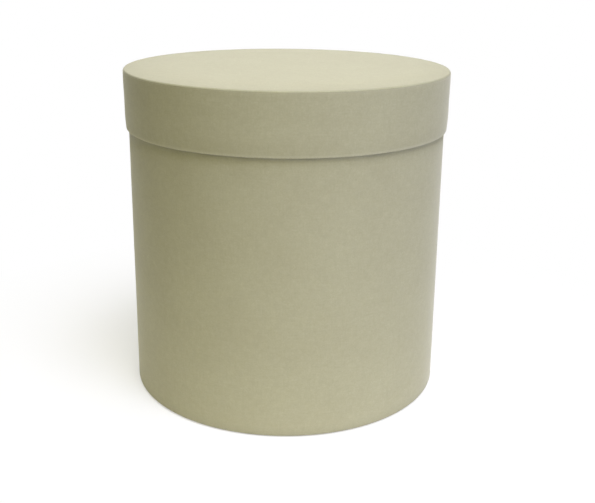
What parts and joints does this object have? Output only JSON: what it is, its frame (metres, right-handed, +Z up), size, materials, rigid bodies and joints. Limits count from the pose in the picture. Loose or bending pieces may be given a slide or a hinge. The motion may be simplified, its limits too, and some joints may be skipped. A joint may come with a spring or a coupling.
{
  "type": "cylindrical gift box",
  "caption": "Round covered-board gift box with straight walls and a shallow lift-off lid that telescopes over its rim.",
  "frame": {"origin": "centre of the base, on the surface that the box stands on", "axes": "+Z up along the axis of the box and the way the lid lifts; the seams of the covering are at +Y, the back"},
  "size_m": [0.2046, 0.2048, 0.2051],
  "materials": {
    "cover": "matte",
    "lining": "matte",
    "board": "matte",
    "tape": "satin"
  },
  "bodies": {
    "box": {"body_tube": "board", "body_joint_tape": "tape", "base_disc": "board", "body_cover_paper": "cover", "base_sheet": "cover", "floor_card": "lining", "body_liner": "lining"},
    "lid": {"lid_collar": "board", "lid_joint_tape": "tape", "lid_disc": "board", "lid_top_paper": "cover", "lid_side_paper": "cover", "lid_liner": "lining", "ceiling_card": "lining"}
  },
  "joints": [
    {"name": "lid_lift", "type": "slide", "parent": "box", "child": "lid", "axis": [0, 0, 1], "range_m": [0, 0.15]}
  ]
}
